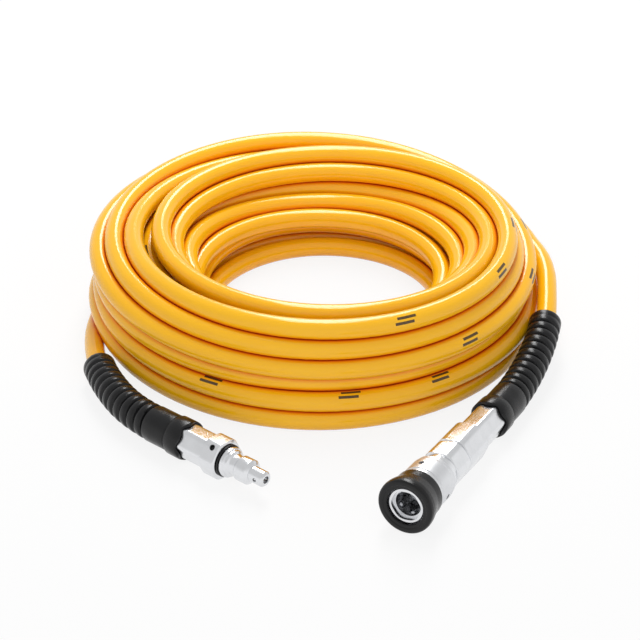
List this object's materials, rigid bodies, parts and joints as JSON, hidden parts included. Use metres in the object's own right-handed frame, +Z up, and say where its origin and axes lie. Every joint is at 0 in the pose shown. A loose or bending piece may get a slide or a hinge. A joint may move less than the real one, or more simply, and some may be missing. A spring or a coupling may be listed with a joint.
{
  "type": "coiled air hose",
  "caption": "Coiled air hose with bend guards, a swivelling plug on one end and a self-closing quick-release socket on the other.",
  "frame": {"origin": "centre of the bounding box, on the floor that the coil lies on", "axes": "+Z up and along the coil's axis, -Y from the coil towards the two couplings, +X to the right, where the socket lies"},
  "size_m": [0.2212, 0.2828, 0.0466],
  "materials": {
    "hose_yellow": "smooth and glossy",
    "black_rubber": "semi-gloss",
    "nickel": "bright nickel plate",
    "satin_nickel": "satin",
    "spring_steel": "drawn wire"
  },
  "bodies": {
    "hose_and_fittings": {"hose_coil": "hose_yellow", "hose_tail_plug": "hose_yellow", "hose_tail_socket": "hose_yellow", "plug_bend_guard": "black_rubber", "socket_bend_guard": "black_rubber", "plug_cap_nut": "nickel", "socket_cap_nut": "nickel", "plug_nipple": "nickel", "socket_nipple": "nickel", "plug_body": "nickel", "plug_retaining_pin": "spring_steel", "plug_o_ring": "black_rubber", "plug_swivel_seal": "black_rubber", "socket_rear_body": "nickel", "socket_body": "nickel", "valve_spring_seat": "nickel", "valve_spring": "spring_steel", "socket_packing": "black_rubber", "packing_ring": "nickel", "sleeve_spring": "spring_steel"},
    "plug": {"plug_nose": "nickel"},
    "sleeve": {"lock_sleeve": "satin_nickel", "socket_bumper": "black_rubber"},
    "valve": {"valve_poppet": "nickel", "valve_seal": "black_rubber"},
    "ball_1": {"lock_ball_1": "spring_steel"},
    "ball_2": {"lock_ball_2": "spring_steel"},
    "ball_3": {"lock_ball_3": "spring_steel"},
    "ball_4": {"lock_ball_4": "spring_steel"},
    "ball_5": {"lock_ball_5": "spring_steel"},
    "ball_6": {"lock_ball_6": "spring_steel"}
  },
  "joints": [
    {"name": "plug_swivel", "type": "hinge", "parent": "hose_and_fittings", "child": "plug", "pos_m": [-0.0562, -0.08186, 0.0095], "axis": [0.749, -0.6626, 0], "continuous": true},
    {"name": "sleeve_slide", "type": "slide", "parent": "hose_and_fittings", "child": "sleeve", "axis": [-0.4782, -0.8771, 0.0455], "range_m": [-0.004, 0], "stiffness_N_per_m": 1200, "springref_m": 0.004, "deforming": ["sleeve_spring"]},
    {"name": "valve_slide", "type": "slide", "parent": "hose_and_fittings", "child": "valve", "axis": [-0.4782, -0.8771, 0.0455], "range_m": [-0.003, 0], "stiffness_N_per_m": 800, "springref_m": 0.003, "deforming": ["valve_spring"]},
    {"name": "ball_1_slide", "type": "slide", "parent": "hose_and_fittings", "child": "ball_1", "axis": [0.0976, -0.1046, -0.9897], "range_m": [0, 0.001]},
    {"name": "ball_2_slide", "type": "slide", "parent": "hose_and_fittings", "child": "ball_2", "axis": [0.8047, -0.4583, -0.3774], "range_m": [0, 0.001]},
    {"name": "ball_3_slide", "type": "slide", "parent": "hose_and_fittings", "child": "ball_3", "axis": [0.7071, -0.3537, 0.6123], "range_m": [0, 0.001]},
    {"name": "ball_4_slide", "type": "slide", "parent": "hose_and_fittings", "child": "ball_4", "axis": [-0.0976, 0.1046, 0.9897], "range_m": [0, 0.001]},
    {"name": "ball_5_slide", "type": "slide", "parent": "hose_and_fittings", "child": "ball_5", "axis": [-0.8047, 0.4583, 0.3774], "range_m": [0, 0.001]},
    {"name": "ball_6_slide", "type": "slide", "parent": "hose_and_fittings", "child": "ball_6", "axis": [-0.7071, 0.3537, -0.6123], "range_m": [0, 0.001]}
  ],
  "couplings": [
    {"joint": "ball_1_slide", "follows": "sleeve_slide", "ratio": -0.225},
    {"joint": "ball_2_slide", "follows": "sleeve_slide", "ratio": -0.225},
    {"joint": "ball_3_slide", "follows": "sleeve_slide", "ratio": -0.225},
    {"joint": "ball_4_slide", "follows": "sleeve_slide", "ratio": -0.225},
    {"joint": "ball_5_slide", "follows": "sleeve_slide", "ratio": -0.225},
    {"joint": "ball_6_slide", "follows": "sleeve_slide", "ratio": -0.225}
  ]
}
